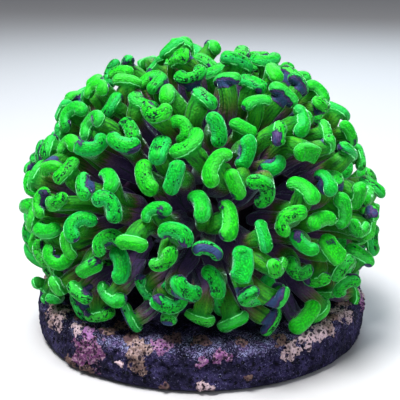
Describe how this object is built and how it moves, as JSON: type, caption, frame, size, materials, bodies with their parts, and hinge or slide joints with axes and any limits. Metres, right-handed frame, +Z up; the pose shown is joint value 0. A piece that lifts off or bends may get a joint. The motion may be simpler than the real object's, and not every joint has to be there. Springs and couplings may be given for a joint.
{
  "type": "branching hammer coral on a frag disc",
  "caption": "Dome-shaped branching hammer coral with a dense crown of hammer-tipped tentacles, grown on a thick round disc.",
  "frame": {"origin": "centre of the disc's flat underside", "axes": "+Z up through the disc's centre and the dome's top; -Y is the front"},
  "size_m": [0.087, 0.0867, 0.0703],
  "materials": {
    "disc": "rough, porous, dark slate with pink and tan crusts",
    "skeleton": "matte, ribbed limestone",
    "flesh": "wet satin, vivid green heads on dark purple stalks"
  },
  "bodies": {
    "root": {"frag_disc": "disc", "trunk": "skeleton", "branch_top": "skeleton", "branch_upper_1": "skeleton", "branch_upper_2": "skeleton", "branch_upper_3": "skeleton", "branch_upper_4": "skeleton", "branch_lower_1": "skeleton", "branch_lower_2": "skeleton", "branch_lower_3": "skeleton", "branch_lower_4": "skeleton", "branch_lower_5": "skeleton", "branch_lower_6": "skeleton", "branch_lower_7": "skeleton", "polyp_top": "flesh", "polyp_upper_1": "flesh", "polyp_upper_2": "flesh", "polyp_upper_3": "flesh", "polyp_upper_4": "flesh", "polyp_lower_1": "flesh", "polyp_lower_2": "flesh", "polyp_lower_3": "flesh", "polyp_lower_4": "flesh", "polyp_lower_5": "flesh", "polyp_lower_6": "flesh", "polyp_lower_7": "flesh"}
  },
  "joints": []
}
